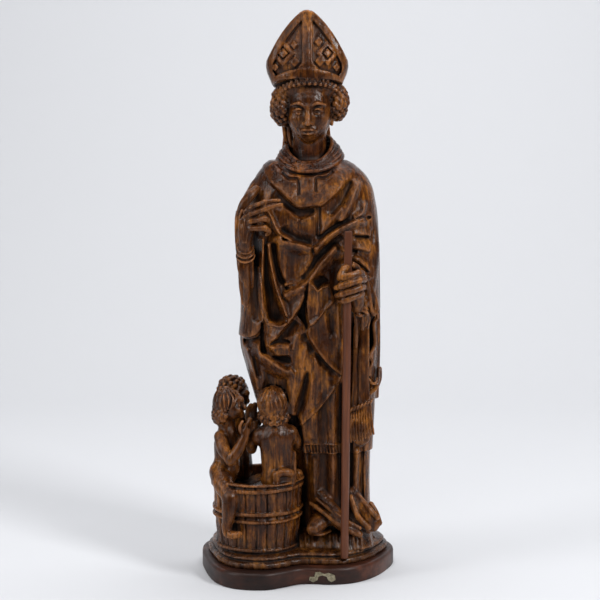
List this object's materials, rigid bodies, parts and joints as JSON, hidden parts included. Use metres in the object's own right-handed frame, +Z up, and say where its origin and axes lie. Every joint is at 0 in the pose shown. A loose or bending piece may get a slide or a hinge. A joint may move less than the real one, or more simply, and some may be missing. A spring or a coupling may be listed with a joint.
{
  "type": "saint statue",
  "caption": "Carved oak statue of a blessing saint in bishop's dress with a mitre and staff, beside a hooped tub holding small boys, on a dark plinth.",
  "frame": {"origin": "middle of the underside of the plinth's bounding box", "axes": "+Z up through the mitre, the saint's front faces -Y, his right hand is on the -X side"},
  "size_m": [0.293, 0.204, 0.84],
  "materials": {
    "oak": "dark varnished old oak, worn lighter on the high places",
    "red_wood": "reddish brown stained dowel, satin",
    "dark_wood": "nearly black brown stain, rubbed at the edges",
    "worn_metal": "dull grey gold, torn and scratched"
  },
  "bodies": {
    "root": {"carved_oak_group": "oak", "staff": "red_wood", "plinth": "dark_wood", "label_remnant": "worn_metal"}
  },
  "joints": []
}
